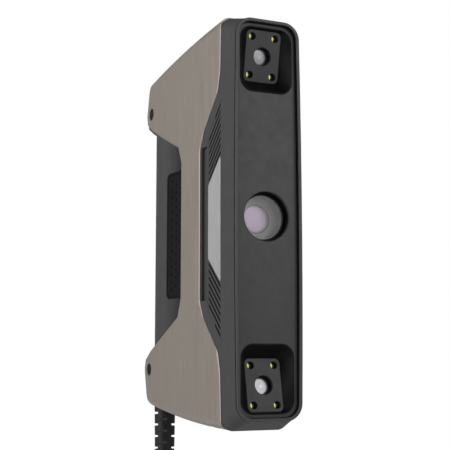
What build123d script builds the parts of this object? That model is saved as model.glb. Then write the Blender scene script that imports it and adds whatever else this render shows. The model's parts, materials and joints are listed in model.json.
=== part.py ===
from build123d import *
import math
import os

# A handheld structured-light scanner: a narrow upright body with a projector and two cameras
# in its front, champagne side panels shaped like an hourglass, and a grip behind their waist.
# Millimetres. +Z is up and the lenses look along -Y. The origin is the middle of the grip.

os.makedirs("parts", exist_ok=True)

# ---- Driving dimensions ------------------------------------------------------------------
PANEL_Y = -118.0  # the front panel's face
RIM_Y = PANEL_Y - 3.0  # the bezel's rim, which stands in front of the panel
HALF_HEIGHT = 119.3
CROWN_Y = -108.0  # where the body is tallest
CROWN_SAG = 0.00052  # it falls by this times the square of the distance behind CROWN_Y
SKIN_X = 21.1  # outer face of a side panel
PANEL_WALL = 1.6
SHELL_X = SKIN_X - PANEL_WALL
SHELL_WALL = 2.2
CHEEK_X = 20.6  # outer face of the dark body beside the side panels
FRAME_BACK_Y = -101.8  # where the front frame meets the two shells
END_STEP = 0.5  # from the side panels' crown down to the dark body's
FRAME_HALF_HEIGHT, FRAME_DROP = 119.2, 0.5  # the front frame's back edge sits a little low
STRIP_X = 10.7  # half the dark strip that runs over the top and down the back
GAP = 0.3

BEZEL_MID, BEZEL_END, BEZEL_HEIGHT = 20.95, 19.9, 113.8  # half sizes of the bezel
BEZEL_CORNER = 9.8
BEZEL_DEPTH = 5.6
RIM_WIDTH = 1.9
BEZEL_STEP = 0.7  # depth of the groove between the bezel's lip and the front frame

LOBE_BULGE = 28.5  # how far the rounded back stands behind the side panels
WAIST_Z = 43.0
GRIP_X, GRIP_Y, GRIP_BULGE = 18.5, 7.2, 26.0  # the grip's round back is half an ellipse
GRIP_TOP_Z = 84.0

CAMERA_Z = 94.1
CAMERA_Y = PANEL_Y + 5.0  # the camera plate's face
CAMERA_TILT = 10.8  # both cameras look towards the middle
WINDOW_X, WINDOW_LOW_Z, WINDOW_HIGH_Z = 16.4, 71.5, 109.9
WINDOW_CORNER = 7.5
PLATE_X, PLATE_Z, PLATE_CORNER = 22.2, 30.2, 3.2  # the camera plate
LED_X, LED_Z, LED_HOLE_R, LED_R = 7.25, 11.1, 2.2, 1.7
LENS_R, LENS_HOLE_R, BARREL_R = 4.85, 5.5, 7.0
PROJECTOR_R = 14.1

CAP_Y, CAP_Z, CAP_R = 17.0, 86.8, 4.0  # the round caps over the shell screws

BUTTON_Z = {"scan": 30.0, "plus": 13.0, "minus": -4.0}
BUTTON_R = {"scan": 6.2, "plus": 4.4, "minus": 4.4}
BUTTON_TRAVEL = 0.8
BUTTON_TOP_Y = 34.6

FAN_Y, FAN_Z, FAN_X, FAN_SIZE, FAN_DEPTH = -84.0, 48.0, 4.0, 30.0, 8.0
BOARD_X = -14.6
SOCKET_Z = -46.5  # the cable's socket on the main board

CABLE_Y = 42.5
CABLE_R = 3.5
INNER_R = 2.6
BOOT_TOP_Z, BOOT_LENGTH = -110.5, 54.0
BOOT_R, BOOT_END_R = 7.2, 6.4

nodes = {}


# ---- Helpers -----------------------------------------------------------------------------
def box(low, high):
    size = [b - a for a, b in zip(low, high)]
    middle = [(a + b) / 2 for a, b in zip(low, high)]
    return Pos(*middle) * Box(*size)


def rod(point, axis, radius, length):
    """A cylinder that starts at a point and runs along an axis."""
    return extrude(Plane(origin=point, z_dir=axis) * Circle(radius), amount=length)


def side_prism(points, x_low, x_high, radius=0.0):
    """A solid drawn on the side view as (y, z) points and pushed through along X."""
    outline = FilletPolyline(*points, radius=radius, close=True)
    face = Plane.YZ.offset(x_low) * make_face(outline)
    return extrude(face, amount=x_high - x_low, dir=(1, 0, 0))


def front_plane(y, z=0.0):
    """A plane of the front view, with its own Y up."""
    return Plane(origin=(0, y, z), x_dir=(1, 0, 0), z_dir=(0, -1, 0))


def front_slab(shape, y_low, y_high, z=0.0):
    """A flat shape of the front view with thickness along Y."""
    return extrude(front_plane(y_low, z) * shape, amount=y_high - y_low, dir=(0, 1, 0))


def flip_x(shape):
    return mirror(shape, about=Plane.YZ)


def flip_z(shape):
    return mirror(shape, about=Plane.XY)


def below_too(points):
    """Points down the upper half of an outline, then the same points below the middle."""
    return points + [(y, -z) for y, z in reversed(points)]


def crown_z(y, inset=0.0):
    return HALF_HEIGHT - inset - CROWN_SAG * (y - CROWN_Y) ** 2


# ---- The body's outer form ---------------------------------------------------------------
# (height, depth) along the side panels' rear edge, and (depth, height) down their front edge.
REAR_EDGE = [(WAIST_Z, -34.8), (54.0, -30.0), (75.0, 16.0), (80.5, 25.0), (87.0, 26.6)]
REAR_EDGE += [(104.0, 22.4), (109.8, 18.6), (112.6, 13.0), (121.0, -12.0)]
FRONT_EDGE = [(-100.9, 120.0), (-99.3, 87.0), (-95.7, 75.2), (-75.4, 56.4), (-69.2, 46.0)]


def lobe_section(z, y_rear, inset):
    """The plan of the body at a height: straight sides and a back that is half an ellipse."""
    half = SKIN_X - inset
    bulge = LOBE_BULGE * min(1.0, max(0.15, (abs(z) - WAIST_Z) / 36.0)) - inset
    start = y_rear - 5.0
    sides = Polyline((-half, start), (-half, FRAME_BACK_Y), (half, FRAME_BACK_Y), (half, start))
    back = EllipticalCenterArc((0, start), half, bulge, start_angle=0, arc_size=180)
    return Pos(0, 0, z) * make_face(sides + back)


def crown_block(inset, edge_radius, half):
    """A slab as wide as the body, which falls away to the back, with rounded long edges."""
    y_ends = (-125.0, -40.0, 70.0)
    top = ThreePointArc(*[(y, crown_z(y, inset)) for y in y_ends])
    bottom = ThreePointArc(*[(y, -crown_z(y, inset)) for y in y_ends])
    ends = [(y_ends[0], crown_z(y_ends[0], inset)), (y_ends[2], crown_z(y_ends[2], inset))]
    front, back = [Line((y, z), (y, -z)) for y, z in ends]
    face = Plane.YZ.offset(-half) * make_face(top + bottom + front + back)
    block = extrude(face, amount=2 * half, dir=(1, 0, 0))
    long_edges = [e for e in block.edges() if e.length > 150 and abs(e.center().Z) > 100]
    return fillet(long_edges, edge_radius)


def envelope(inset, edge_radius):
    """The body behind the front frame, shrunk by an inset, with its long top edges rounded."""
    back = 1.7 * max(0.0, inset - PANEL_WALL)
    levels = [(z, y - back) for z, y in REAR_EDGE]
    levels = [(-z, y) for z, y in reversed(levels)] + levels
    body = loft([lobe_section(z, y, inset) for z, y in levels], ruled=True)
    return body & crown_block(inset, edge_radius, SKIN_X - inset)


def grip_section(inset):
    """The grip's plan: scooped for the fingers in front, round at the back."""
    half = GRIP_X - inset
    scoop = [(-half + 1.3, -48), (-15.6 + inset, -29), (-15.4 + inset, -18)]
    scoop += [(-half + 0.8, -4), (-half, GRIP_Y)]
    left = Spline(*scoop, tangents=[(0.1, 1), (0, 1)])
    right = mirror(left, about=Plane.YZ)
    back = EllipticalCenterArc((0, GRIP_Y), half, GRIP_BULGE - inset, start_angle=0, arc_size=180)
    front = Line(left @ 0, right @ 0)
    return make_face(left + back + right + front)


def grip_column(inset, z_low, z_high):
    return extrude(Pos(0, 0, z_low) * grip_section(inset), amount=z_high - z_low, dir=(0, 0, 1))


def barrel_face(mid, end, height, corner):
    """The front view's outline: a tall rounded rectangle with slightly bowed sides."""
    left = ThreePointArc((-end, -height), (-mid, 0), (-end, height))
    right = ThreePointArc((end, -height), (mid, 0), (end, height))
    top = Line((-end, height), (end, height))
    bottom = Line((-end, -height), (end, -height))
    face = make_face(left + right + top + bottom)
    return fillet(face.vertices(), corner)


def bezel_face(inset):
    mid, end, height = BEZEL_MID - inset, BEZEL_END - inset, BEZEL_HEIGHT - inset
    return barrel_face(mid, end, height, max(BEZEL_CORNER - inset, 1.0))


# ---- Side panels --------------------------------------------------------------------------
PANEL_EDGE = 0.45  # chamfer round a side panel
PANEL_GAP = 0.9  # between a side panel's outline and the dark body
FRONT_RADII = [0.0, 30.0, 10.0, 16.0, 7.0]
REAR_RADII = [5.0, 6.0, 12.0, 4.0, 7.0, 5.0, 3.0, 3.0, 0.0]


def side_panel_points(grow):
    """The hourglass of a side panel, grown along Y, as (depth, height) points."""
    front = below_too([(y - grow, z) for y, z in FRONT_EDGE])
    rear = below_too([(y + grow, z) for z, y in reversed(REAR_EDGE)])
    return front + rear[::-1]


def side_panel_radii():
    return FRONT_RADII + FRONT_RADII[::-1] + REAR_RADII[::-1] + REAR_RADII


def side_panel_prism(grow, x_low, x_high):
    return side_prism(side_panel_points(grow), x_low, x_high, side_panel_radii())


side_panel = envelope(0.0, 6.0) - envelope(PANEL_WALL, 4.6)
side_region = side_panel_prism(0.0, SHELL_X - 0.9, SKIN_X - PANEL_EDGE)
edge_outline = FilletPolyline(*side_panel_points(0.0), radius=side_panel_radii(), close=True)
edge_face = Plane.YZ.offset(SKIN_X - PANEL_EDGE) * make_face(edge_outline)
side_region = side_region + extrude(edge_face, amount=PANEL_EDGE + 0.1, dir=(1, 0, 0), taper=45)
for side in (-1, 1):
    wrap_region = box((STRIP_X + GAP, -200, side * 123 - 18), (SKIN_X - PANEL_EDGE, 200, side * 123 + 18))
    side_region = side_region + (side_panel_prism(0.0, STRIP_X + GAP, 30.0) & wrap_region)
side_panel = side_panel & side_region
cap_seat = rod((SHELL_X + 0.4, CAP_Y, CAP_Z), (1, 0, 0), CAP_R + 0.1, 5)
screw_hole = rod((SHELL_X - 5, CAP_Y, CAP_Z), (1, 0, 0), 1.8, 10)
side_panel = side_panel - cap_seat - flip_z(cap_seat) - screw_hole - flip_z(screw_hole)
nodes["side_panel_right"] = side_panel
nodes["side_panel_left"] = flip_x(side_panel)

# ---- Front frame: the dark ring behind the bezel ------------------------------------------
FRAME_WALL = 2.4
FRAME_FRONT_Y = RIM_Y + 1.9
PANEL_HALF_SHRINK = RIM_WIDTH + 0.15


def frame_block(inset):
    """The front frame's outer form: it flares from the bezel's outline to the body's."""
    front = barrel_face(BEZEL_MID - inset, BEZEL_END - inset, BEZEL_HEIGHT - inset, BEZEL_CORNER - inset)
    back = barrel_face(20.8 - inset, 20.6 - inset, FRAME_HALF_HEIGHT - inset, BEZEL_CORNER - 3 - inset)
    back = front_plane(FRAME_BACK_Y, -FRAME_DROP) * back
    return loft([front_plane(FRAME_FRONT_Y) * front, back], ruled=True)


bezel_seat = front_slab(bezel_face(BEZEL_STEP), FRAME_FRONT_Y - 1, RIM_Y + BEZEL_DEPTH)
front_frame = frame_block(0.0) - frame_block(FRAME_WALL) - bezel_seat
FRAME_SHELF_Y = RIM_Y + BEZEL_DEPTH
shelf = front_slab(bezel_face(1.6), FRAME_SHELF_Y, FRAME_SHELF_Y + 2.0)
shelf = shelf - front_slab(bezel_face(4.6), FRAME_SHELF_Y - 1, FRAME_SHELF_Y + 3.0)
for side in (-1, 1):
    shelf = shelf - box((-17.5, FRAME_SHELF_Y - 1, side * 91 - 22), (17.5, FRAME_SHELF_Y + 3, side * 91 + 22))
front_frame = front_frame + shelf
nodes["front_frame"] = front_frame

# ---- Bezel and front panel ---------------------------------------------------------------
bezel = front_slab(bezel_face(0.0), RIM_Y, RIM_Y + 0.9)
bezel = bezel + front_slab(bezel_face(BEZEL_STEP), RIM_Y + 0.9, RIM_Y + BEZEL_DEPTH)
bezel = bezel - front_slab(bezel_face(RIM_WIDTH), RIM_Y - 1, RIM_Y + BEZEL_DEPTH + 1)
bezel = fillet(bezel.faces().sort_by(Axis.Y)[0].edges(), 0.45)
nodes["front_bezel"] = bezel

PANEL_BACK_Y = FRAME_SHELF_Y - 0.8
window_height = WINDOW_HIGH_Z - WINDOW_LOW_Z
window_z = (WINDOW_HIGH_Z + WINDOW_LOW_Z) / 2
window_face = RectangleRounded(2 * WINDOW_X, window_height, WINDOW_CORNER)
front_panel = front_slab(bezel_face(PANEL_HALF_SHRINK), PANEL_Y, PANEL_BACK_Y)
for side in (-1, 1):
    front_panel = front_panel - front_slab(window_face, PANEL_Y - 1, PANEL_BACK_Y + 1, side * window_z)
front_panel = front_panel - rod((0, PANEL_Y - 1, 0), (0, 1, 0), PROJECTOR_R, 10)
opening_edges = [wire.edges() for wire in front_panel.faces().sort_by(Axis.Y)[0].inner_wires()]
front_panel = chamfer([edge for edges in opening_edges for edge in edges], 0.3)
nodes["front_panel"] = front_panel

gasket = front_slab(bezel_face(PANEL_HALF_SHRINK), PANEL_BACK_Y, FRAME_SHELF_Y)
gasket = gasket - front_slab(bezel_face(PANEL_HALF_SHRINK + 2.0), PANEL_BACK_Y - 1, FRAME_SHELF_Y + 1)
for side in (-1, 1):
    gasket = gasket - box((-17.5, PANEL_BACK_Y - 1, side * 91 - 22), (17.5, FRAME_SHELF_Y + 1, side * 91 + 22))
nodes["panel_gasket"] = gasket

# ---- Shells ------------------------------------------------------------------------------
GROOVE_Y = (-79.9, -69.9)  # the dark upright groove in front of the waist
GROOVE_Z = 46.0
GROOVE_DEPTH = 2.4
GRILLE_Y = (-101.4, -81.6)
GRILLE_LONG_Z, GRILLE_SHORT_Z = 69.5, 52.2  # half heights of the grille at its front and back
GRILLE_WALL = 1.6

shell = envelope(PANEL_WALL, 4.6) + grip_column(0.0, -GRIP_TOP_Z, GRIP_TOP_Z)
strip = envelope(0.4, 5.6) & box((-STRIP_X, -200, -200), (STRIP_X, 200, 200))
strip = strip & crown_block(END_STEP, 5.6, SKIN_X)
cheek_points = [(-101.6, 130), (-101.6, -130), (-50, -130), (-50, 130)]
cheeks = side_prism(cheek_points, -CHEEK_X, CHEEK_X) & crown_block(END_STEP, 5.6, CHEEK_X)
panel_room = side_panel_prism(PANEL_GAP, STRIP_X, 40)
cheeks = cheeks - panel_room - flip_x(panel_room)
cheeks = cheeks - box((-30, -69.6, -60), (30, 0, 60))
shell = shell + strip + cheeks
boss = rod((0, CABLE_Y, BOOT_TOP_Z), (0, 0, 1), 9.4, 12.5)
boss_top = extrude(Pos(0, CABLE_Y, BOOT_TOP_Z + 12.5) * Circle(9.4), amount=9, dir=(0, 0, 1), taper=16)
shell = shell + boss + boss_top
cavity = envelope(PANEL_WALL + SHELL_WALL, 2.0)
cavity = cavity + grip_column(SHELL_WALL, -GRIP_TOP_Z + SHELL_WALL, GRIP_TOP_Z - SHELL_WALL)
shell = shell - (cavity & box((-30, -200, -106), (30, 30, 106)))
shell = shell - rod((0, CABLE_Y, BOOT_TOP_Z - 5), (0, 0, 1), 5.2, 30)
shell = shell - rod((0, CABLE_Y + 0.5, BOOT_TOP_Z + 18.5), (0, -12.5, 10.5), 4.2, 19)

# Upright groove, seats for the grilles, and the openings behind them.
grille_points = below_too([(GRILLE_Y[0], GRILLE_LONG_Z), (GRILLE_Y[1], GRILLE_SHORT_Z)])
opening_points = below_too([(GRILLE_Y[0] + 2, GRILLE_LONG_Z - 3), (GRILLE_Y[1] - 2, GRILLE_SHORT_Z - 2)])
side_cuts = box((CHEEK_X - GROOVE_DEPTH, GROOVE_Y[0], -GROOVE_Z), (30, GROOVE_Y[1], GROOVE_Z))
side_cuts = side_cuts + side_prism(grille_points, CHEEK_X - GRILLE_WALL - 0.1, 30)
side_cuts = side_cuts + side_prism(opening_points, 10, 30)
shell = shell - side_cuts - flip_x(side_cuts)

# Seats for the finger pads and for the rubber spine down the back of the grip.
PAD_WALL = 1.2
PAD_Y, PAD_Z = (-33.5, -5.0), 41.5
DIMPLE_R, DIMPLE_DEPTH, DIMPLE_STEP_Y, DIMPLE_STEP_Z = 0.65, 0.7, 5.8, 5.1


def pad_prism(inset, radius):
    points = [(PAD_Y[0] + inset, PAD_Z - inset), (PAD_Y[1] - inset, PAD_Z - inset)]
    return side_prism(below_too(points), 5, 30, radius)


pad_seat = pad_prism(0.0, 4.0) - grip_column(PAD_WALL, -50, 50)
grip_pad = pad_seat & grip_column(0.0, -60, 60)
border = pad_prism(1.3, 2.7) - pad_prism(1.8, 2.2) - grip_column(0.4, -50, 50)
dimples = []
for column in range(4):
    y = PAD_Y[1] - 6.0 - DIMPLE_STEP_Y * column
    count = 15 - column % 2
    for row in range(count):
        z = DIMPLE_STEP_Z * (row - (count - 1) / 2)
        dimples.append(rod((5, y, z), (1, 0, 0), DIMPLE_R, 25) - grip_column(DIMPLE_DEPTH, z - 2, z + 2))
grip_pad = grip_pad - border
for dimple in dimples:
    grip_pad = grip_pad - dimple
SPINE_Z, SPINE_LENGTH, SPINE_WIDTH, SPINE_WALL = -6.0, 104.0, 24.0, 1.4
spine_slab = front_slab(RectangleRounded(SPINE_WIDTH, SPINE_LENGTH, 11.4), 12, 50, SPINE_Z)
spine_seat = spine_slab - grip_column(SPINE_WALL, -70, 70)
shell = shell - pad_seat - flip_x(pad_seat) - spine_seat

# The right shell, with its share of the button holes, posts for the button board, and bosses
# for the screws that join the shells. The left shell mirrors it and carries the main board.
button_holes = [rod((0, 20, z), (0, 1, 0), BUTTON_R[name] + GAP, 30) for name, z in BUTTON_Z.items()]
shell_right = shell & box((0, -200, -200), (60, 200, 200))
for hole in button_holes:
    shell_right = shell_right - hole
BUTTON_BOARD_Y = 21.4
for z in (-13, 41):
    shell_right = shell_right + rod((8.6, BUTTON_BOARD_Y + 1.6, z), (0, 1, 0), 2.0, 3.5)
for z in (-CAP_Z, CAP_Z):
    shell_right = shell_right + rod((1.0, CAP_Y, z), (1, 0, 0), 4.4, 17)
    shell_right = shell_right - rod((-1.0, CAP_Y, z), (1, 0, 0), 1.5, 30)
    shell_right = shell_right - rod((17.0, CAP_Y, z), (1, 0, 0), 2.9, 10)
shell_left = flip_x(shell_right)
BOARD_HOLES = [(y, z) for y in (-90, -52) for z in (-54, 54)]
for y, z in BOARD_HOLES:
    standoff = rod((-18, y, z), (1, 0, 0), 2.6, 18 + BOARD_X) - rod((-18, y, z), (1, 0, 0), 1.2, 10)
    shell_left = shell_left + standoff
for z in (FAN_Z - 12.0, FAN_Z + 12.0):
    shell_right = shell_right + rod((FAN_X + FAN_DEPTH, FAN_Y + 12.0, z), (1, 0, 0), 1.8, 6.0)
nodes["shell_right"] = shell_right
nodes["shell_left"] = shell_left
nodes["grip_pad_right"] = grip_pad
nodes["grip_pad_left"] = flip_x(grip_pad)

# ---- Vent grilles and badge plates -------------------------------------------------------
BADGE_Y, BADGE_LONG_Z, BADGE_SHORT_Z, BADGE_WALL = (-99.9, -81.9), 36.6, 21.6, 0.8
SLOT_STEP, SLOT_HEIGHT, SLOT_COUNT = 4.0, 1.9, 8
slope = (BADGE_LONG_Z - BADGE_SHORT_Z) / (BADGE_Y[1] - BADGE_Y[0])
grille = side_prism(grille_points, CHEEK_X - GRILLE_WALL, CHEEK_X - 0.1, 0.8)
badge_points = below_too([(BADGE_Y[0], BADGE_LONG_Z), (BADGE_Y[1], BADGE_SHORT_Z)])
badge = side_prism(badge_points, CHEEK_X - BADGE_WALL, CHEEK_X + 0.1, 0.8)
grille = grille - side_prism(badge_points, CHEEK_X - BADGE_WALL, CHEEK_X + 1, 0.8)
for i in range(SLOT_COUNT):
    low = BADGE_LONG_Z + 1.4 + SLOT_STEP * i
    end_y = BADGE_Y[1] - 0.8 if i < SLOT_COUNT - 1 else -92.0
    end_z = low - slope * (end_y - BADGE_Y[0])
    slot_points = [(BADGE_Y[0] + 0.3, low), (BADGE_Y[0] + 0.3, low + SLOT_HEIGHT)]
    slot_points += [(end_y, end_z + SLOT_HEIGHT), (end_y, end_z)]
    slot = side_prism(slot_points, 10, 30)
    grille = grille - slot - flip_z(slot)
for name, piece in (("vent_grille", grille), ("badge_plate", badge)):
    nodes[name + "_right"] = piece
    nodes[name + "_left"] = flip_x(piece)

# ---- Rear spine, buttons and their board -------------------------------------------------
RING_R = 8.4
scan_z = BUTTON_Z["scan"]
ring_disc = rod((0, 20, scan_z), (0, 1, 0), RING_R, 30)
spine_slab = spine_slab - ring_disc
for hole in button_holes[1:]:
    spine_slab = spine_slab - hole
spine_layer = grip_column(0.0, -70, 70) - grip_column(SPINE_WALL, -71, 71)
nodes["grip_spine"] = spine_layer & spine_slab
nodes["light_ring"] = spine_layer & (ring_disc - button_holes[0])

FLANGE_Y, STEM_Y = 26.8, 25.4
for name, z in BUTTON_Z.items():
    cap = rod((0, FLANGE_Y, z), (0, 1, 0), BUTTON_R[name], BUTTON_TOP_Y - FLANGE_Y)
    cap = fillet(cap.edges().sort_by(Axis.Y)[-1], 0.6)
    flange = rod((0, FLANGE_Y, z), (0, 1, 0), BUTTON_R[name] + 1.2, 1.0)
    stem = rod((0, STEM_Y, z), (0, 1, 0), 1.5, FLANGE_Y - STEM_Y)
    nodes[name + "_button"] = cap + flange + stem
board_low, board_high = (-10, BUTTON_BOARD_Y, -17), (10, BUTTON_BOARD_Y + 1.6, 45)
nodes["button_board"] = box(board_low, board_high)
SWITCH_HEIGHT = STEM_Y - BUTTON_TRAVEL - 0.15 - BUTTON_BOARD_Y - 1.6
switches = [rod((0, BUTTON_BOARD_Y + 1.6, z), (0, 1, 0), 3.0, SWITCH_HEIGHT) for z in BUTTON_Z.values()]
nodes["dome_switches"] = Compound(children=switches)

# ---- Cameras -----------------------------------------------------------------------------
# Each camera is drawn with its plate's face at Y = 0, looking along -Y, and then tilted.
camera_place = Location((0, CAMERA_Y, CAMERA_Z), (CAMERA_TILT, 0, 0))
led_spots = [(x, z) for x in (-LED_X, LED_X) for z in (-LED_Z, LED_Z)]
plate = front_slab(RectangleRounded(PLATE_X, PLATE_Z, PLATE_CORNER), 0, 1.6)
plate = fillet(plate.faces().sort_by(Axis.Y)[0].edges(), 0.4)
plate_back = RectangleRounded(PLATE_X - 1, PLATE_Z - 1, PLATE_CORNER)
plate = plate + front_slab(plate_back, 1.6, 4.2)
plate = plate - rod((0, -1, 0), (0, 1, 0), LENS_HOLE_R, 4) - rod((0, 1.6, 0), (0, 1, 0), BARREL_R, 4)
led_board = front_slab(plate_back, 4.2, 5.2) - rod((0, 3, 0), (0, 1, 0), BARREL_R, 4)
leds = []
for x, z in led_spots:
    plate = plate - rod((x, -1, z), (0, 1, 0), LED_HOLE_R, 8)
    dome = Pos(x, 3.4, z) * Sphere(LED_R) & rod((x, 1, z), (0, 1, 0), LED_R, 2.4)
    leds.append(dome + rod((x, 3.4, z), (0, 1, 0), LED_R, 0.8))
barrel = rod((0, 1.6, 0), (0, 1, 0), BARREL_R, 14.4) - rod((0, 1, 0), (0, 1, 0), LENS_HOLE_R, 5.3)
lens_back = rod((0, 4.4, 0), (0, 1, 0), LENS_HOLE_R, 1.9)
lens_dome = Pos(0, 4.1 + 30.0, 0) * Sphere(30.0) & rod((0, 3, 0), (0, 1, 0), LENS_R, 1.6)
lens = lens_back + lens_dome
sensor_board = box((-11, 16, -10), (11, 17.6, 7.4)) + box((-5, 17.6, -5), (5, 19.2, 5))

window_fit = RectangleRounded(2 * WINDOW_X - 0.2, window_height - 0.2, WINDOW_CORNER - 0.1)
hood = front_slab(window_fit, PANEL_Y, PANEL_BACK_Y + 0.1, window_z)
hood_back = RectangleRounded(34.6, window_height + 3.2, WINDOW_CORNER + 0.3)
hood = hood + front_slab(hood_back, PANEL_BACK_Y, PANEL_Y + 9.5, window_z)
mouth_face = RectangleRounded(2 * WINDOW_X - 1.2, window_height - 1.2, 7.0)
mouth = front_plane(PANEL_Y - 0.01, window_z) * mouth_face
throat_face = RectangleRounded(PLATE_X + 0.2, PLATE_Z + 0.2, PLATE_CORNER + 0.1)
throat = camera_place * (front_plane(0) * throat_face)
hood = hood - loft([mouth, throat])
hood = hood - camera_place * front_slab(throat_face, -0.01, 16)
upper_camera = {
    "camera_plate": camera_place * plate,
    "camera_barrel": camera_place * barrel,
    "camera_lens": camera_place * lens,
    "camera_leds": camera_place * Compound(children=leds),
    "led_board": camera_place * led_board,
    "sensor_board": camera_place * sensor_board,
    "camera_hood": hood,
}
for name, piece in upper_camera.items():
    nodes[name + "_upper"] = piece
    nodes[name + "_lower"] = flip_z(piece)

# ---- Projector ---------------------------------------------------------------------------
WINDOW_GLASS_R = 12.65
GLASS_Y = PANEL_Y + 5.4
LENS_FACE_Y = PANEL_Y + 14.2
PROJECTOR_LENS_R = 8.5
sleeve = rod((0, PANEL_BACK_Y, 0), (0, 1, 0), 16.0, GLASS_Y + 1.8 - PANEL_BACK_Y)
sleeve = sleeve - rod((0, PANEL_Y, 0), (0, 1, 0), PROJECTOR_R, GLASS_Y - PANEL_Y)
nodes["projector_sleeve"] = sleeve - rod((0, PANEL_Y, 0), (0, 1, 0), WINDOW_GLASS_R, 20)
nodes["projector_window"] = rod((0, GLASS_Y, 0), (0, 1, 0), WINDOW_GLASS_R, 1.2)
tube = rod((0, GLASS_Y + 1.8, 0), (0, 1, 0), 14.4, 14) - rod((0, GLASS_Y, 0), (0, 1, 0), WINDOW_GLASS_R, 8.8)
nodes["projector_barrel"] = tube - rod((0, GLASS_Y, 0), (0, 1, 0), PROJECTOR_LENS_R, 30)
lens_front = Pos(0, LENS_FACE_Y + 40.0, 0) * Sphere(40.2)
lens_front = lens_front & rod((0, LENS_FACE_Y - 2, 0), (0, 1, 0), PROJECTOR_LENS_R - 0.2, 3)
nodes["projector_lens"] = lens_front + rod((0, LENS_FACE_Y + 1, 0), (0, 1, 0), PROJECTOR_LENS_R, 4)
ENGINE_Y = GLASS_Y + 15.8
nodes["projector_engine"] = box((-11, ENGINE_Y, -19), (11, ENGINE_Y + 27, 19))
fins = box((-11, ENGINE_Y + 27, -18), (11, ENGINE_Y + 30, 18))
for i in range(7):
    fins = fins + box((-11, ENGINE_Y + 30, -18 + 5.8 * i), (11, ENGINE_Y + 39, -16.8 + 5.8 * i))
nodes["heat_sink"] = fins

# ---- Optical frame and electronics -------------------------------------------------------
OPTIC_Y = -104.2
optic = box((-16.8, OPTIC_Y, -108), (16.8, OPTIC_Y + 2.2, 108)) - rod((0, -110, 0), (0, 1, 0), 14.6, 20)
plate_room = front_slab(RectangleRounded(PLATE_X - 0.6, PLATE_Z - 0.6, PLATE_CORNER), -1, 8)
for flip in (lambda shape: shape, flip_z):
    optic = optic - flip(camera_place * rod((0, -1, 0), (0, 1, 0), 7.4, 30))
    optic = optic - flip(camera_place * plate_room)
FRAME_SCREWS = [(x, z) for x in (-14.2, 14.2) for z in (-62, -24, 24, 62)]
frame_screws = []
for x, z in FRAME_SCREWS:
    post = rod((x, FRAME_SHELF_Y, z), (0, 1, 0), 2.4, OPTIC_Y - FRAME_SHELF_Y)
    front_frame = front_frame + post - rod((x, OPTIC_Y - 6, z), (0, 1, 0), 1.25, 8)
    optic = optic - rod((x, OPTIC_Y - 1, z), (0, 1, 0), 1.25, 5)
    screw = rod((x, OPTIC_Y - 6, z), (0, 1, 0), 1.25, 8.2) + rod((x, OPTIC_Y + 2.2, z), (0, 1, 0), 2.3, 1.5)
    frame_screws.append(screw - rod((x, OPTIC_Y + 2.9, z), (0, 1, 0), 0.9, 2))
nodes["front_frame"] = front_frame
nodes["optical_frame"] = optic
nodes["frame_screws"] = Compound(children=frame_screws)

main_board = box((BOARD_X, -94, -58), (BOARD_X + 1.6, -48, 58))
board_screws = []
for y, z in BOARD_HOLES:
    main_board = main_board - rod((-18, y, z), (1, 0, 0), 1.2, 10)
    head = rod((BOARD_X + 1.6, y, z), (1, 0, 0), 2.2, 1.4)
    board_screws.append(rod((-17, y, z), (1, 0, 0), 1.2, 19 + BOARD_X) + head)
nodes["main_board"] = main_board
nodes["board_screws"] = Compound(children=board_screws)
chip_x = BOARD_X + 1.6
chips = [box((chip_x, -66, -8), (chip_x + 1.4, -52, 6)), box((chip_x, -66, 18), (chip_x + 1.2, -56, 28))]
chips.append(box((chip_x, -90, -46), (chip_x + 4.0, -80, -28)))
chips.append(box((chip_x, -57, SOCKET_Z - 5), (chip_x + 6.0, -49, SOCKET_Z + 5)))
nodes["board_chips"] = Compound(children=chips)

# ---- Cooling fan -------------------------------------------------------------------------
fan_half = FAN_SIZE / 2
fan_axis = (FAN_X, FAN_Y, FAN_Z)
fan_low = (FAN_X, FAN_Y - fan_half, FAN_Z - fan_half)
fan_frame = box(fan_low, (FAN_X + FAN_DEPTH, FAN_Y + fan_half, FAN_Z + fan_half))
fan_frame = fan_frame - rod((FAN_X - 1, FAN_Y, FAN_Z), (1, 0, 0), fan_half - 1.4, FAN_DEPTH + 2)
fan_frame = fan_frame + rod(fan_axis, (1, 0, 0), 5.0, 1.0)
for angle in (45, 135):
    turn = Location(fan_axis, (angle, 0, 0))
    fan_frame = fan_frame + turn * box((0, -1.0, -fan_half), (1.0, 1.0, fan_half))
fan_frame = fan_frame + rod(fan_axis, (1, 0, 0), 1.0, 5.0)
rotor = rod((FAN_X + 1.4, FAN_Y, FAN_Z), (1, 0, 0), 5.0, 6.0)
for i in range(7):
    blade = Pos(0, 0, 8.3) * Rot(0, 0, 32) * Box(6.0, 0.8, 8.0)
    rotor = rotor + Location((FAN_X + 4.4, FAN_Y, FAN_Z), (360 * i / 7, 0, 0)) * blade
rotor = rotor - rod(fan_axis, (1, 0, 0), 1.06, 5.3)
nodes["fan_frame"] = fan_frame
nodes["fan_rotor"] = rotor

# ---- Screws and caps of the shells -------------------------------------------------------
caps, shell_screws = [], []
for side in (-1, 1):
    for z in (-CAP_Z, CAP_Z):
        cap = rod((side * (SHELL_X + 0.4), CAP_Y, z), (side, 0, 0), CAP_R, 0.9)
        caps.append(fillet(cap.edges().sort_by(Axis.X)[-1 if side > 0 else 0], 0.3))
        screw = rod((side * 5.0, CAP_Y, z), (side, 0, 0), 1.5, 12.2)
        screw = screw + rod((side * 17.0, CAP_Y, z), (side, 0, 0), 2.8, 2.4)
        shell_screws.append(screw)
nodes["screw_caps"] = Compound(children=caps)
nodes["shell_screws"] = Compound(children=shell_screws)

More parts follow.
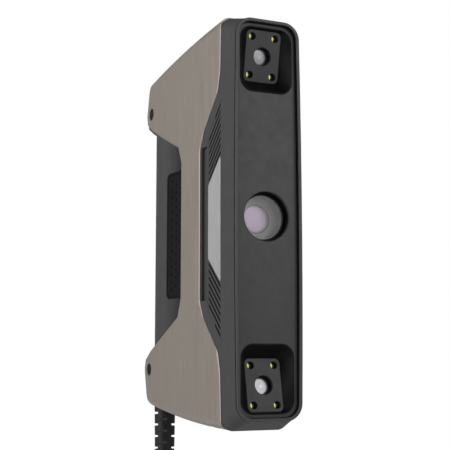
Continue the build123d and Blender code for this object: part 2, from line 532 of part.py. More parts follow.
# ---- Cable: boot, lead, hank, tie, tail and plug -----------------------------------------
NOTCH_STEP, NOTCH_HEIGHT, NOTCH_CORE = 7.87, 1.8, 4.4
BOOT_TURN = -24.0  # the notches face the corners of the body, not its sides
boot_low_z = BOOT_TOP_Z - BOOT_LENGTH
boot = Pos(0, CABLE_Y, boot_low_z + BOOT_LENGTH / 2) * Cone(BOOT_END_R, BOOT_R, BOOT_LENGTH)
boot = fillet(boot.edges().sort_by(Axis.Z)[0], 0.8)
for i in range(6):
    for turn, drop, core in ((0, 6.5, NOTCH_CORE), (62, 10.4, NOTCH_CORE + 0.6)):
        z = BOOT_TOP_Z - drop - NOTCH_STEP * i
        for side in (-1, 1):
            notch = Pos(side * (core + 6), 0, 0) * Box(12, 20, NOTCH_HEIGHT)
            boot = boot - Location((0, CABLE_Y, z), (0, 0, BOOT_TURN + turn)) * notch
boot = boot + rod((0, CABLE_Y, BOOT_TOP_Z), (0, 0, 1), 5.2, 10.0)
nodes["strain_relief"] = boot


def tube(points, radius):
    """A cord's tube: straight runs joined by arcs as large as the runs allow."""
    runs = [(Vector(*b) - Vector(*a)) for a, b in zip(points, points[1:])]
    radii = []
    for a, b in zip(runs, runs[1:]):
        half_turn = math.radians(a.get_angle(b)) / 2
        radii.append(0.45 * min(a.length, b.length) / math.tan(half_turn))
    path = FilletPolyline(*points, radius=radii)
    return sweep(Plane(origin=path @ 0, z_dir=path % 0) * Circle(radius), path=path)


# The hank: turns of cable in two layers, folded round 28 mm and 21 mm and pulled in by a tie.
HANK_Y, HANK_Z = 19.0, -268.0
HANK_HALF_X, HANK_HALF_Y, HANK_HALF_Z, HANK_WAIST = 14.0, 31.5, 69.0, 17.5
TIE_HALF_Z, TIE_WALL = 9.0, 1.4
HANK_SIDE = [(HANK_HALF_Y, HANK_HALF_Z), (HANK_HALF_Y, 30.0), (HANK_WAIST, 12.0)]
HANK_SIDE = HANK_SIDE + [(y, -z) for y, z in reversed(HANK_SIDE)]
hank_points = [(HANK_Y + y, HANK_Z + z) for y, z in HANK_SIDE]
hank_points += [(HANK_Y - y, HANK_Z + z) for y, z in reversed(HANK_SIDE)]
hank_radii = [30.0, 14.0, 6.0, 6.0, 14.0, 30.0] * 2
hank = side_prism(hank_points, -HANK_HALF_X, HANK_HALF_X, hank_radii)
nodes["cable_hank"] = hank
tie_x, tie_y = HANK_HALF_X + TIE_WALL, HANK_WAIST + TIE_WALL
tie = box((-tie_x, HANK_Y - tie_y, HANK_Z - TIE_HALF_Z), (tie_x, HANK_Y + tie_y, HANK_Z + TIE_HALF_Z))
tie = fillet(tie.edges().filter_by(Axis.Z), 2.4)
core_low = (-HANK_HALF_X, HANK_Y - HANK_WAIST, HANK_Z - 20)
nodes["hank_tie"] = tie - box(core_low, (HANK_HALF_X, HANK_Y + HANK_WAIST, HANK_Z + 20))

# The lead passes down the hank's left side and slips in under its outer layer.
PLUG_Y, PLUG_TOP_Z = 34.3, -372.0
lead_points = [(0, CABLE_Y, boot_low_z), (0, CABLE_Y, -177.0), (-6.5, 42.0, -190.0), (-17.0, 40.5, -206.0)]
lead_points += [(-18.0, 39.5, -222.0), (-10.5, 38.5, -238.0)]
tail_points = [(-10.5, 47.0, -312.0), (-9.0, 44.0, -331.0), (-3.5, 36.5, -346.0), (0, PLUG_Y, -359.0)]
tail_points += [(0, PLUG_Y, PLUG_TOP_Z)]
nodes["cable_lead"] = tube(lead_points, CABLE_R) - hank
nodes["cable_tail"] = tube(tail_points, CABLE_R) - hank

plug = Pos(0, PLUG_Y, PLUG_TOP_Z - 7) * Cone(7.4, 4.8, 14)
plug = plug + rod((0, PLUG_Y, PLUG_TOP_Z - 14), (0, 0, -1), 8.0, 18)
plug = fillet(plug.edges().filter_by(GeomType.CIRCLE).sort_by(Axis.Z)[0], 1.0)
for i in range(5):
    ring = rod((0, PLUG_Y, PLUG_TOP_Z - 18.5 - 2.6 * i), (0, 0, -1), 9.0, 1.2)
    plug = plug - (ring - rod((0, PLUG_Y, PLUG_TOP_Z - 17), (0, 0, -1), 7.4, 20))
nodes["plug_body"] = plug
collar = rod((0, PLUG_Y, PLUG_TOP_Z - 32), (0, 0, -1), 7.0, 12)
collar = fillet(collar.edges().filter_by(GeomType.CIRCLE).sort_by(Axis.Z)[0], 0.6)
nodes["plug_collar"] = collar - rod((0, PLUG_Y, PLUG_TOP_Z - 36), (0, 0, -1), 5.6, 12)
pins = rod((0, PLUG_Y, PLUG_TOP_Z - 36), (0, 0, -1), 5.6, 1.6)
for i in range(6):
    angle = math.radians(60 * i)
    x, y = 3.4 * math.cos(angle), PLUG_Y + 3.4 * math.sin(angle)
    pins = pins + rod((x, y, PLUG_TOP_Z - 37.6), (0, 0, -1), 0.5, 5.0)
nodes["plug_pins"] = pins

# The same cable inside, without its outer sheath, from the boot's neck to the main board.
inner_points = [(0, CABLE_Y, BOOT_TOP_Z + 10), (0, CABLE_Y, -94.5), (0, 38.0, -87.5), (0, 30.0, -80.5)]
inner_points += [(0, 20.0, -76.8), (-4.5, 6.0, -71.5), (-9.0, -10.0, -62.5), (-9.8, -28.0, -52.0)]
inner_points += [(-9.8, -39.0, SOCKET_Z), (-9.8, -49.0, SOCKET_Z)]
nodes["inner_lead"] = tube(inner_points, INNER_R)

# ---- Write the parts ---------------------------------------------------------------------
for name, shape in nodes.items():
    export_step(shape, f"parts/{name}.step")
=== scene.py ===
"""The looks of a handheld scanner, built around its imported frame.

+Z is up, the lenses look along -Y, and the origin is the middle of the grip. The scene is in
metres. The scanner's own sizes and places are named in millimetres, and become metres by MM.
"""

import functools
import json
import math

import bmesh
import bpy
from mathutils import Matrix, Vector


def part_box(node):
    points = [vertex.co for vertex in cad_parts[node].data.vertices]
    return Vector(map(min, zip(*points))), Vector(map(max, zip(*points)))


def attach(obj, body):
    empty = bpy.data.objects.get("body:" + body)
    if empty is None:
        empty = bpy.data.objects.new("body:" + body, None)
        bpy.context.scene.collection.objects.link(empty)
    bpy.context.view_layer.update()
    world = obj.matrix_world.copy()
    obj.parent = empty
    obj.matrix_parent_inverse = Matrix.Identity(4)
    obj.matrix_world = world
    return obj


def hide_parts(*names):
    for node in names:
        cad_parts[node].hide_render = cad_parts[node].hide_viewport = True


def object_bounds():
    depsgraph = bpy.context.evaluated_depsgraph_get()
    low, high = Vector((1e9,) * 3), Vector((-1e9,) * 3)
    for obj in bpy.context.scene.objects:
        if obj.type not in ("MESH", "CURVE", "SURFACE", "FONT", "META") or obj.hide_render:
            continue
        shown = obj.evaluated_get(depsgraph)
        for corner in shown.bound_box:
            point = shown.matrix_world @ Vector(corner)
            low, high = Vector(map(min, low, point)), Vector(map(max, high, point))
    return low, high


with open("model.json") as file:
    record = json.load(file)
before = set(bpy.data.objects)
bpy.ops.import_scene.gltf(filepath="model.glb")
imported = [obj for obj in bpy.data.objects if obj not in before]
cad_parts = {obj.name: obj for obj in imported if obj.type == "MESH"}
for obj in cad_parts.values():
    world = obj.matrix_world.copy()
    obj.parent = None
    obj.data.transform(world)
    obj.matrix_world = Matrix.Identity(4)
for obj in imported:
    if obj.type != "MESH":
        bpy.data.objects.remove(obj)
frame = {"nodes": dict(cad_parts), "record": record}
nodes = frame["nodes"]
cad_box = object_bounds()

MM = 0.001
BODY = "scanner"
QUAD = ((-1, -1), (1, -1), (1, 1), (-1, 1))  # a rectangle's corners, in order round it
BODY_NODES = frame["record"]["behaviour"]["bodies"]
BODY_OF = {name: body for body, names in BODY_NODES.items() for name in names}
SLOT_OF = {part["node"]: part["material_slot"] for part in frame["record"]["subparts"]}

# The scanner's own sizes that the looks and the pieces made here share.
PANEL_Y = -118.0  # the front panel's face
ENDS = ("upper", "lower")
CAMERA_Y, CAMERA_Z = -113.0, 94.1  # the upper camera plate's middle
CAMERA_TILT = math.radians(10.8)  # how far each camera leans towards the middle
LED_X, LED_Z = 7.25, 11.1  # each lamp's place either side of its camera
LENS_SPOT_Z = 94.9  # the middle of the upper camera lens's face


# ---- Camera, lights and floor --------------------------------------------------------------
# The camera stands where the scanner shows its front, its -X side and a little of its underside.
VIEW_PLACE = (-0.24897, -0.61799, -0.07883)
VIEW_DIRECTION = (0.40387, 0.90536, 0.13117)
FOCAL_LENGTH, SENSOR_WIDTH = 80, 36
WHITE = (1, 1, 1, 1)
BACKDROP_STRENGTH = 1.0
SURROUND_STRENGTH = 0.26
# Each softbox's name, place, target, width, height and power, in metres and watts.
SOFTBOXES = [
    ("side_softbox", (-1.5, -0.3, 0.3), (0, -0.08, 0), 0.8, 1.4, 12),
    ("back_softbox", (-1.35, 1.0, 0.5), (0, -0.08, 0.02), 0.5, 1.4, 4),
    ("front_softbox", (0.68, -1.65, 0.5), (0, -0.05, 0), 1.2, 0.9, 6),
]
FLOOR_DROP = 0.03  # metres from the plug's lowest point down to the floor
FLOOR_HALF = 2.6  # half a side of the square floor, in metres
FLOOR_COLOR, FLOOR_ROUGHNESS = (0.93, 0.93, 0.93, 1), 0.9


def aim(piece, place, target):
    """Stands a camera or lamp at a place, looking at a target."""
    piece.location = place
    piece.rotation_euler = (Vector(target) - Vector(place)).to_track_quat("-Z", "Y").to_euler()


def add_object(name, data):
    piece = bpy.data.objects.new(name, data)
    bpy.context.scene.collection.objects.link(piece)
    return piece


def make_camera():
    lens = bpy.data.cameras.new("camera")
    lens.lens = FOCAL_LENGTH
    lens.sensor_width = SENSOR_WIDTH
    camera = add_object("camera", lens)
    place = Vector(VIEW_PLACE)
    aim(camera, place, place + Vector(VIEW_DIRECTION))
    bpy.context.scene.camera = camera


def make_lamp(name, place, target, width, height, power):
    light = bpy.data.lights.new(name, "AREA")
    light.shape = "RECTANGLE"
    light.size = width
    light.size_y = height
    light.energy = power
    lamp = add_object(name, light)
    aim(lamp, place, target)


def make_studio():
    """A white backdrop for the camera, dimmer soft light all round, and three softboxes."""
    world = bpy.data.worlds.new("studio")
    world.use_nodes = True
    tree = world.node_tree
    backdrop = tree.nodes["Background"]
    backdrop.inputs["Color"].default_value = WHITE
    backdrop.inputs["Strength"].default_value = BACKDROP_STRENGTH
    surround = tree.nodes.new("ShaderNodeBackground")
    surround.inputs["Color"].default_value = WHITE
    surround.inputs["Strength"].default_value = SURROUND_STRENGTH
    path = tree.nodes.new("ShaderNodeLightPath")
    mix = tree.nodes.new("ShaderNodeMixShader")
    tree.links.new(path.outputs["Is Camera Ray"], mix.inputs["Fac"])
    tree.links.new(surround.outputs["Background"], mix.inputs[1])
    tree.links.new(backdrop.outputs["Background"], mix.inputs[2])
    tree.links.new(mix.outputs["Shader"], tree.nodes["World Output"].inputs["Surface"])
    bpy.context.scene.world = world
    bpy.context.scene.view_settings.view_transform = "Standard"
    for softbox in SOFTBOXES:
        make_lamp(*softbox)


def make_floor():
    low_z = cad_box[0][2] - FLOOR_DROP
    mesh = bpy.data.meshes.new("floor")
    corners = [(a * FLOOR_HALF, b * FLOOR_HALF, low_z) for a, b in QUAD]
    mesh.from_pydata(corners, [], [(0, 1, 2, 3)])
    floor = add_object("floor", mesh)
    look = bpy.data.materials.new("pale_floor")
    look.use_nodes = True
    shader = look.node_tree.nodes["Principled BSDF"]
    shader.inputs["Base Color"].default_value = FLOOR_COLOR
    shader.inputs["Roughness"].default_value = FLOOR_ROUGHNESS
    mesh.materials.append(look)


# ---- Material kit --------------------------------------------------------------------------
class Look:
    """A material built from textures in the piece's own coordinates, in metres."""

    def __init__(self, name, color, roughness, **sockets):
        self.material = bpy.data.materials.new(name)
        self.material.use_nodes = True
        self.tree = self.material.node_tree
        self.shader = self.tree.nodes["Principled BSDF"]
        self.shader.inputs["Base Color"].default_value = (*color, 1)
        self.shader.inputs["Roughness"].default_value = roughness
        self.color = color
        self.roughness = roughness
        for socket, value in sockets.items():
            self.shader.inputs[socket.replace("_", " ")].default_value = value
        self.place = self.node("ShaderNodeTexCoord").outputs["Object"]
        self.normal = None

    def node(self, kind, **settings):
        made = self.tree.nodes.new(kind)
        for key, value in settings.items():
            setattr(made, key, value)
        return made

    def link(self, source, target):
        self.tree.links.new(source, target)

    def stretched(self, scale):
        """The piece's place, scaled along each axis, for grain that runs one way."""
        mapping = self.node("ShaderNodeMapping")
        mapping.inputs["Scale"].default_value = scale
        self.link(self.place, mapping.inputs["Vector"])
        return mapping.outputs["Vector"]

    def noise(self, size, detail=3.0, stretch=(1, 1, 1)):
        """Noise whose features are about as large as size, in metres."""
        noise = self.node("ShaderNodeTexNoise")
        noise.inputs["Scale"].default_value = 1 / size
        noise.inputs["Detail"].default_value = detail
        self.link(self.stretched(stretch), noise.inputs["Vector"])
        return noise.outputs["Fac"]

    def ramp(self, value, low, high, start=0.3, end=0.7):
        """A number that goes from low to high as value goes from start to end."""
        spread = self.node("ShaderNodeMapRange")
        sockets = ("From Min", "From Max", "To Min", "To Max")
        for socket, number in zip(sockets, (start, end, low, high)):
            spread.inputs[socket].default_value = number
        self.link(value, spread.inputs["Value"])
        return spread.outputs["Result"]

    def tint(self, value, amount):
        """Lightens the colour by a share where value is high, and darkens it where it is low."""
        mix = self.node("ShaderNodeMix", data_type="RGBA")
        dark = [c * (1 - amount) for c in self.color]
        light = [c * (1 + amount) for c in self.color]
        mix.inputs["A"].default_value = (*dark, 1)
        mix.inputs["B"].default_value = (*light, 1)
        self.link(self.ramp(value, 0, 1), mix.inputs["Factor"])
        self.link(mix.outputs["Result"], self.shader.inputs["Base Color"])
        return self

    def gloss(self, value, amount):
        """Varies the roughness either side of its own value."""
        rough = self.ramp(value, self.roughness - amount, self.roughness + amount)
        self.link(rough, self.shader.inputs["Roughness"])
        return self

    def calc(self, operation, a, b=0.0):
        """A number worked out from one or two links or plain numbers."""
        step = self.node("ShaderNodeMath", operation=operation)
        for socket, value in zip(step.inputs, (a, b)):
            if isinstance(value, (int, float)):
                socket.default_value = value
            else:
                self.link(value, socket)
        return step.outputs["Value"]

    def axes(self):
        """The piece's own X, Y and Z, in metres."""
        split = self.node("ShaderNodeSeparateXYZ")
        self.link(self.place, split.inputs["Vector"])
        return [split.outputs[axis] for axis in "XYZ"]

    def recolour(self, share, color):
        """Goes over to another colour where share is 1, on top of what is there."""
        socket = self.shader.inputs["Base Color"]
        mix = self.node("ShaderNodeMix", data_type="RGBA")
        if socket.is_linked:
            self.link(socket.links[0].from_socket, mix.inputs["A"])
        else:
            mix.inputs["A"].default_value = socket.default_value
        mix.inputs["B"].default_value = (*color, 1)
        self.link(share, mix.inputs["Factor"])
        self.link(mix.outputs["Result"], socket)
        return self

    def bump(self, value, height):
        """Raises the surface by a height in metres where value is high."""
        bump = self.node("ShaderNodeBump")
        bump.inputs["Distance"].default_value = height
        self.link(value, bump.inputs["Height"])
        if self.normal:
            self.link(self.normal, bump.inputs["Normal"])
        self.normal = bump.outputs["Normal"]
        self.link(self.normal, self.shader.inputs["Normal"])
        return self


FINE = 2.0  # the noise detail of grain and tool marks
BLOTCH_SIZE, BLOTCH_TINT = 9 * MM, 0.05  # moulded plastic's blotches of colour
SHEEN_SIZE, SHEEN_SPREAD = 5 * MM, 0.04  # and of gloss
MARK_SIZE, MARK_TINT, MARK_SPREAD, MARK_DEPTH = 1.2 * MM, 0.08, 0.06, 0.01 * MM  # tool marks
TRACK_SCALE = 260  # the circuit board's bricks, by the metre
WEAVE_SCALE = 420  # the tie's bands, by the metre


def moulded_look(name, color, roughness, grain=0.25 * MM, depth=0.012 * MM, **sockets):
    """Moulded plastic or rubber: an eroded texture, faint blotches and uneven gloss."""
    look = Look(name, color, roughness, **sockets)
    look.tint(look.noise(BLOTCH_SIZE), BLOTCH_TINT)
    look.gloss(look.noise(SHEEN_SIZE), SHEEN_SPREAD)
    look.bump(look.noise(grain, FINE), depth)
    return look


def moulded(*settings, **sockets):
    """A moulded look with nothing added to it."""
    return moulded_look(*settings, **sockets).material


def machined(name, color, roughness, stretch, **sockets):
    """Bare or anodised metal with fine tool marks along one direction."""
    look = Look(name, color, roughness, Metallic=1.0, **sockets)
    marks = look.noise(MARK_SIZE, FINE, stretch)
    look.tint(marks, MARK_TINT)
    look.gloss(marks, MARK_SPREAD)
    look.bump(marks, MARK_DEPTH)
    return look.material


# The painted shade in the grip's scoop, behind the waist panel, fades in, out and away over these
# stretches, in metres.
SCOOP_SHADE_STARTS_Y = (-60 * MM, -50 * MM)
SCOOP_SHADE_FADES_Y = (-24 * MM, -2 * MM)
SCOOP_SHADE_ENDS_Z = (62 * MM, 84 * MM)


def shell_plastic():
    """The dark body, with near-black painted shade in the grip's scoop between the lobes."""
    shade, roughness = (0.051, 0.051, 0.0525), 0.5
    look = moulded_look("dark_shell_plastic", shade, roughness, Specular_IOR_Level=0.35)
    _, y, z = look.axes()
    starts = look.ramp(y, 0, 1, *SCOOP_SHADE_STARTS_Y)
    fades = look.ramp(y, 1, 0, *SCOOP_SHADE_FADES_Y)
    behind = look.calc("MULTIPLY", starts, fades)
    between = look.ramp(look.calc("ABSOLUTE", z), 1, 0, *SCOOP_SHADE_ENDS_Z)
    # Painted shade: near-black where the scoop behind the waist panel lies in shadow.
    look.recolour(look.calc("MULTIPLY", behind, between), (0.004, 0.004, 0.0043))
    return look.material


RIM_FACE_Y = (-120.5 * MM, -120.3 * MM)  # where the bezel goes from its face to its walls, which are painted near-black as shade


def bezel_plastic():
    """The rim's satin face; its walls and the groove behind its lip are painted near-black as
    shade.
    """
    look = moulded_look("bezel_plastic", (0.062, 0.062, 0.064), 0.4, depth=0.01 * MM)
    y = look.axes()[1]
    # Painted shade: the walls and the groove behind the lip go near-black.
    look.recolour(look.ramp(y, 0, 1, *RIM_FACE_Y), (0.001, 0.001, 0.001))
    return look.material


LIT_SIDE_EDGE = (-0.5 * MM, -0.2 * MM)  # where the painted highlight on a lamp's -X side ends, from the lamp's middle
PAINTED_GLOW = 0.6


def led_resin():
    """Dark amber resin with a painted highlight, made to glow, on the -X side of each lamp."""
    look = Look("led_resin", (0.07, 0.062, 0.006), 0.25, Coat_Weight=0.3)
    x = look.axes()[0]
    across = look.calc("SUBTRACT", look.calc("ABSOLUTE", x), LED_X * MM)
    from_middle = look.calc("MULTIPLY", across, look.calc("SIGN", x))
    # Painted highlight: a glowing yellow crescent on the side the light falls on.
    lit = look.ramp(from_middle, 1, 0, *LIT_SIDE_EDGE)
    look.recolour(lit, (0.8, 0.75, 0.2))
    look.gloss(look.noise(1 * MM), 0.05)
    look.shader.inputs["Emission Color"].default_value = (0.85, 0.78, 0.2, 1)
    look.link(look.calc("MULTIPLY", lit, PAINTED_GLOW), look.shader.inputs["Emission Strength"])
    return look.material


ROSY_SPOT = (0.5 * MM, 1.1 * MM)  # the radii between which a lens's spot fades out


def lens_coating():
    """A camera lens: a smooth grey mirror with a rosy spot in the middle."""
    look = Look("lens_coating", (0.36, 0.36, 0.37), 0.3, Metallic=0.9)
    look.gloss(look.noise(3 * MM), 0.02)
    x, _, z = look.axes()
    aside = look.calc("SUBTRACT", look.calc("ABSOLUTE", z), LENS_SPOT_Z * MM)
    reach = look.calc("ADD", look.calc("MULTIPLY", x, x), look.calc("MULTIPLY", aside, aside))
    spot = look.ramp(look.calc("SQRT", reach), 1, 0, *ROSY_SPOT)
    look.recolour(spot, (0.62, 0.4, 0.58))
    return look.material


def champagne_paint():
    """Satin metallic paint with a fine upright grain."""
    look = Look("champagne_paint", (0.385, 0.337, 0.296), 0.4, Metallic=0.6)
    grain = look.noise(1.5 * MM, FINE, (1, 1, 0.03))
    look.tint(grain, 0.09)
    look.gloss(grain, 0.05)
    look.bump(grain, 0.006 * MM)
    return look.material


def circuit_board():
    """Green solder mask over a brick pattern of tracks."""
    look = Look("circuit_board", (0.01, 0.07, 0.035), 0.35)
    tracks = look.node("ShaderNodeTexBrick")
    tracks.inputs["Scale"].default_value = TRACK_SCALE
    tracks.inputs["Color1"].default_value = (0.008, 0.06, 0.03, 1)
    tracks.inputs["Color2"].default_value = (0.015, 0.1, 0.05, 1)
    tracks.inputs["Mortar"].default_value = (0.03, 0.14, 0.06, 1)
    look.link(look.place, tracks.inputs["Vector"])
    look.link(tracks.outputs["Color"], look.shader.inputs["Base Color"])
    look.gloss(look.noise(4 * MM), 0.05)
    return look.material


def woven_fabric():
    """Black hook-and-loop tape."""
    look = Look("woven_fabric", (0.018, 0.018, 0.02), 0.9, Sheen_Weight=0.4)
    weave = look.node("ShaderNodeTexWave", bands_direction="Z")
    weave.inputs["Scale"].default_value = WEAVE_SCALE
    look.link(look.place, weave.inputs["Vector"])
    look.tint(look.noise(0.6 * MM), 0.3)
    look.bump(weave.outputs["Fac"], 0.12 * MM)
    look.bump(look.noise(0.3 * MM), 0.1 * MM)
    return look.material


def coated_glass(name, color, roughness, **sockets):
    """The projector's glass, with slightly uneven gloss."""
    look = Look(name, color, roughness, Transmission_Weight=0.0, Coat_Weight=0.0, **sockets)
    look.gloss(look.noise(3 * MM), 0.015)
    return look.material


LOOKS = {  # one finish for each material slot
    "champagne_panel": champagne_paint(),
    "dark_shell": shell_plastic(),
    "bezel_plastic": bezel_plastic(),
    "front_panel_plastic": moulded(
        "front_panel_plastic", (0.052, 0.052, 0.053), 0.42, 0.2 * MM, 0.006 * MM
    ),
    "black_plastic": moulded(
        "matt_black_plastic", (0.003, 0.003, 0.0032), 0.5, Specular_IOR_Level=0.2
    ),
    "camera_plate_plastic": moulded("camera_plate_plastic", (0.058, 0.058, 0.059), 0.5),
    "badge_metal": machined("badge_metal", (0.76, 0.76, 0.765), 0.38, (6, 6, 0.15)),
    "rubber": moulded(
        "soft_rubber", (0.008, 0.008, 0.0085), 0.75, 0.35 * MM, 0.03 * MM, Specular_IOR_Level=0.12
    ),
    "boot_rubber": moulded(
        "boot_rubber", (0.007, 0.007, 0.0075), 0.5, 0.4 * MM, 0.02 * MM, Specular_IOR_Level=0.35
    ),
    "cable_jacket": moulded("cable_jacket", (0.013, 0.013, 0.014), 0.48, 0.5 * MM, 0.02 * MM),
    "tie_fabric": woven_fabric(),
    "button_plastic": moulded("button_plastic", (0.03, 0.03, 0.032), 0.3, 0.2 * MM, 0.004 * MM),
    "light_guide": moulded("light_guide", (0.55, 0.6, 0.62), 0.35, Subsurface_Weight=0.2),
    "lens_glass": lens_coating(),
    "projector_glass": coated_glass("projector_glass", (0.95, 0.95, 0.96), 0.04, Alpha=0.1),
    "projector_coating": coated_glass("projector_coating", (0.5, 0.41, 0.52), 0.4, Metallic=0.85),
    "barrel_metal": moulded(
        "barrel_finish", (0.46, 0.46, 0.46), 0.55, 0.3 * MM, 0.002 * MM, Metallic=0.5
    ),
    "black_metal": machined("black_metal", (0.02, 0.02, 0.021), 0.4, (1, 4, 1)),
    "aluminium": machined("aluminium", (0.62, 0.62, 0.63), 0.4, (4, 4, 0.3)),
    "circuit_board": circuit_board(),
    "chip_plastic": moulded("chip_plastic", (0.02, 0.02, 0.02), 0.5),
    "led_yellow": led_resin(),
    "switch_metal": machined("switch_metal", (0.6, 0.6, 0.58), 0.3, (1, 1, 1)),
    "screw_steel": machined("screw_steel", (0.5, 0.5, 0.5), 0.35, (1, 1, 1)),
    "contact_brass": machined("contact_brass", (0.72, 0.52, 0.22), 0.3, (1, 1, 1)),
}


def paint_cad_nodes():
    """Gives each CAD node the finish of its material slot."""
    for part in frame["record"]["subparts"]:
        piece = nodes[part["node"]]
        look = LOOKS[part["material_slot"]]
        for material_slot in piece.material_slots:
            material_slot.link = "OBJECT"
            material_slot.material = look


# ---- Pieces made here ----------------------------------------------------------------------
def body_piece(name, mesh, body, slot):
    """A new piece that rides on a body and wears the finish of a slot."""
    piece = add_object(name, mesh)
    mesh.materials.append(LOOKS[slot])
    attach(piece, body)
    return piece


# ---- Lenses and lamps ----------------------------------------------------------------------
# Turned outlines, from the middle of the front round to the middle of the back, as (radius,
# depth) points: depths are behind the camera plate's face, or behind the front panel's face.
CAMERA_LENS = [(0, 4.1), (1.2, 4.105), (2.4, 4.12), (3.6, 4.145), (4.6, 4.17), (4.8, 4.24)]
CAMERA_LENS += [(4.85, 4.4), (5.0, 4.66), (5.3, 4.66), (5.45, 4.75), (5.5, 4.9), (5.5, 6.3)]
CAMERA_LENS += [(0, 6.3)]
LED_DOME = [(0, 1.7), (0.65, 1.83), (1.2, 2.2), (1.57, 2.75), (1.7, 3.4), (1.7, 4.2), (0, 4.2)]
PROJECTOR_LENS = [(0, 14.3), (2.1, 14.305), (4.2, 14.32), (6.3, 14.345), (8.0, 14.38)]
PROJECTOR_LENS += [(8.35, 14.5), (8.5, 14.8), (8.5, 19.2), (0, 19.2)]
LENS_STEPS, LAMP_STEPS, PROJECTOR_STEPS = 48, 24, 64
SHARP_ANGLE = math.radians(35)


def camera_spot(end, x, depth, z):
    """A point of one camera's own frame, tilted and set in its window, in metres."""
    y = CAMERA_Y + depth * math.cos(CAMERA_TILT) - z * math.sin(CAMERA_TILT)
    height = CAMERA_Z + depth * math.sin(CAMERA_TILT) + z * math.cos(CAMERA_TILT)
    return Vector((x, y, height if end == "upper" else -height)) * MM


def projector_spot(x, depth, z):
    """A point behind the front panel's face, in metres."""
    return Vector((x, PANEL_Y + depth, z)) * MM


def turn(form, outline, spot, steps, middle=(0, 0)):
    """Turns an outline about the line through a middle (x, z), with spot placing each point.

    An outline point on that line makes a ring of one vertex, where the faces have three corners.
    """
    rings = []
    for radius, depth in outline:
        ring = []
        for i in range(steps if radius else 1):
            angle = 2 * math.pi * i / steps
            x = middle[0] + radius * math.cos(angle)
            z = middle[1] + radius * math.sin(angle)
            ring.append(form.verts.new(spot(x, depth, z)))
        rings.append(ring)
    for low, high in zip(rings, rings[1:]):
        for i in range(steps):
            corners = [low[i % len(low)], low[(i + 1) % len(low)]]
            corners += [high[(i + 1) % len(high)], high[i % len(high)]]
            form.faces.new(list(dict.fromkeys(corners)))


def mesh_of(form, name):
    """Turns a bmesh into a mesh whose faces look outwards."""
    bmesh.ops.recalc_face_normals(form, faces=form.faces)
    mesh = bpy.data.meshes.new(name)
    form.to_mesh(mesh)
    form.free()
    return mesh


def smooth_mesh_of(form, name):
    """Turns a bmesh into a smooth mesh whose sharp corners stay sharp."""
    for face in form.faces:
        face.smooth = True
    mesh = mesh_of(form, name)
    mesh.set_sharp_from_angle(angle=SHARP_ANGLE)
    return mesh


def stand_in(name, form, node):
    """A piece made here that takes a CAD node's place, body and finish."""
    piece = body_piece(name, smooth_mesh_of(form, name), BODY_OF[node], SLOT_OF[node])
    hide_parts(node)


def make_optics():
    for end in ENDS:
        spot = functools.partial(camera_spot, end)
        lens = bmesh.new()
        turn(lens, CAMERA_LENS, spot, LENS_STEPS)
        stand_in("lens_" + end, lens, "camera_lens_" + end)
        lamps = bmesh.new()
        for x in (-LED_X, LED_X):
            for z in (-LED_Z, LED_Z):
                turn(lamps, LED_DOME, spot, LAMP_STEPS, (x, z))
        stand_in("lamps_" + end, lamps, "camera_leds_" + end)
    lens = bmesh.new()
    turn(lens, PROJECTOR_LENS, projector_spot, PROJECTOR_STEPS)
    stand_in("projector_front_lens", lens, "projector_lens")


# ---- Button marks --------------------------------------------------------------------------
BAR_LENGTH_HALF, BAR_WIDTH_HALF = 1.9, 0.4  # half of a bar's length and width
BAR_HEIGHT, BAR_SINK = 0.3, 0.05  # how tall a bar is, and how deep it starts below the surface
BAR_SLOPE = 0.12  # how far a bar's sides lean in
MINUS_BARS = [(BAR_LENGTH_HALF, BAR_WIDTH_HALF)]
PLUS_BARS = MINUS_BARS + [(BAR_WIDTH_HALF, BAR_LENGTH_HALF)]


def add_ring(form, middle, half_x, half_z):
    """A rectangle of four vertices about a middle, facing along Y."""
    x, y, z = middle
    ring = []
    for a, b in QUAD:
        ring.append(form.verts.new(Vector((x + a * half_x, y, z + b * half_z)) * MM))
    return ring


def add_bar(form, middle, half_x, half_z):
    """A small raised bar with sloping sides, standing out along +Y."""
    x, y, z = middle
    base = add_ring(form, middle, half_x, half_z)
    top = add_ring(form, (x, y + BAR_HEIGHT, z), half_x - BAR_SLOPE, half_z - BAR_SLOPE)
    form.faces.new(base)
    form.faces.new(top[::-1])
    for i in range(4):
        form.faces.new((base[i], top[i], top[(i + 1) % 4], base[(i + 1) % 4]))


def make_button_mark(button, bars):
    """A raised sign on a button, from bars given as half their extent along X and along Z."""
    low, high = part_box(button)
    x, _, z = [(a + b) / 2 / MM for a, b in zip(low, high)]
    form = bmesh.new()
    for half_x, half_z in bars:
        add_bar(form, (x, high[1] / MM - BAR_SINK, z), half_x, half_z)
    name = button + "_mark"
    body_piece(name, mesh_of(form, name), BODY_OF[button], "light_guide")


# ---- Cable ---------------------------------------------------------------------------------
CABLE_DIAMETER = 7 * MM
CABLE_STEPS, CABLE_RING_STEPS = 6, 5  # how finely the curve and its round section are cut
HANK_Y, HANK_Z = 19.0, -268.0  # the hank's middle
COLUMNS = (-10.5, -3.5, 3.5, 10.5)  # the turns' places across the hank
# Each layer of the hank: its folds' radius, half its height, and half the width of its waist.
INNER_LAYER = (23.4, 58.5, 7.0)
OUTER_LAYER = (30.4, 65.5, 14.0)
FOLD_ANGLES = (-105, -75, -45, -15, 15, 45, 75, 105)  # degrees from the top of a fold
WAIST_HALF = 8.0  # half the height of the stretch under the tie
CROSSING_START = 0.75  # the share of a turn after which it moves over to the next turn's place


def turn_outline(layer):
    """One turn's (y, z) points about the hank's middle: over its top, down and back up."""
    fold_radius, half_height, waist = layer
    centre = half_height - fold_radius
    over_top = []
    for angle in FOLD_ANGLES:
        turned = math.radians(angle)
        y, z = fold_radius * math.sin(turned), fold_radius * math.cos(turned)
        over_top.append((y, centre + z))
    half_turn = over_top + [(waist, WAIST_HALF), (waist, -WAIST_HALF)]
    return half_turn + [(-y, -z) for y, z in half_turn]


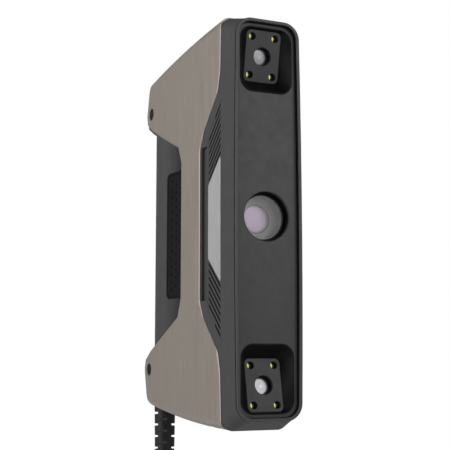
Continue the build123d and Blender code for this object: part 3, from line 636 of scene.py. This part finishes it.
def hank_points():
    """The hank's turns: across the inner layer's columns, then back across the outer layer's."""
    cells = [(x, INNER_LAYER) for x in COLUMNS]
    cells += [(x, OUTER_LAYER) for x in reversed(COLUMNS)]
    points = []
    for (x, layer), (next_x, next_layer) in zip(cells, cells[1:] + cells[-1:]):
        here, there = turn_outline(layer), turn_outline(next_layer)
        count = len(here)
        for i in range(count):
            past_start = i - CROSSING_START * count
            share = max(0.0, past_start / ((1 - CROSSING_START) * count))
            y = here[i][0] + share * (there[i][0] - here[i][0])
            z = here[i][1] + share * (there[i][1] - here[i][1])
            points.append((x + share * (next_x - x), HANK_Y + y, HANK_Z + z))
    return points


# The way down to the hank, and from the hank to the plug.
LEAD_POINTS = [(0, 42.5, -112.5), (0, 42.5, -140), (0, 42.5, -164.5), (0, 42.5, -177.0)]
LEAD_POINTS += [(-6.5, 42.0, -190.0), (-17.0, 40.5, -206.0), (-18.0, 39.5, -222.0)]
LEAD_POINTS += [(-10.5, 38.5, -238.0)]
TAIL_POINTS = [(-10.5, 47.0, -312.0), (-9.0, 44.0, -331.0), (-3.5, 36.5, -346.0), (0, 34.3, -359.0)]
TAIL_POINTS += [(0, 34.3, -373.0)]
FIRST_KEPT = len(FOLD_ANGLES)  # the first turn starts at its waist, where the lead slips in
LEFT_OUT = len(FOLD_ANGLES) + 1  # the last turn's points after the tail leaves its +Y side


def make_cable():
    """The whole cable as one curve, which takes the place of the CAD's three cable nodes."""
    turns = hank_points()
    route = LEAD_POINTS + turns[FIRST_KEPT:-LEFT_OUT] + TAIL_POINTS
    curve = bpy.data.curves.new("cable", "CURVE")
    curve.dimensions = "3D"
    curve.resolution_u = CABLE_STEPS
    curve.bevel_depth = CABLE_DIAMETER / 2
    curve.bevel_resolution = CABLE_RING_STEPS
    curve.use_fill_caps = True
    spline = curve.splines.new("NURBS")
    spline.points.add(len(route) - 1)
    for point, place in zip(spline.points, route):
        point.co = (*[v * MM for v in place], 1)
    spline.order_u = 3
    spline.use_endpoint_u = True
    cable = add_object("cable", curve)
    curve.materials.append(LOOKS["cable_jacket"])
    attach(cable, BODY)
    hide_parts("cable_lead", "cable_hank", "cable_tail")


make_camera()
make_studio()
make_floor()
paint_cad_nodes()
make_cable()
make_optics()
make_button_mark("plus_button", PLUS_BARS)
make_button_mark("minus_button", MINUS_BARS)
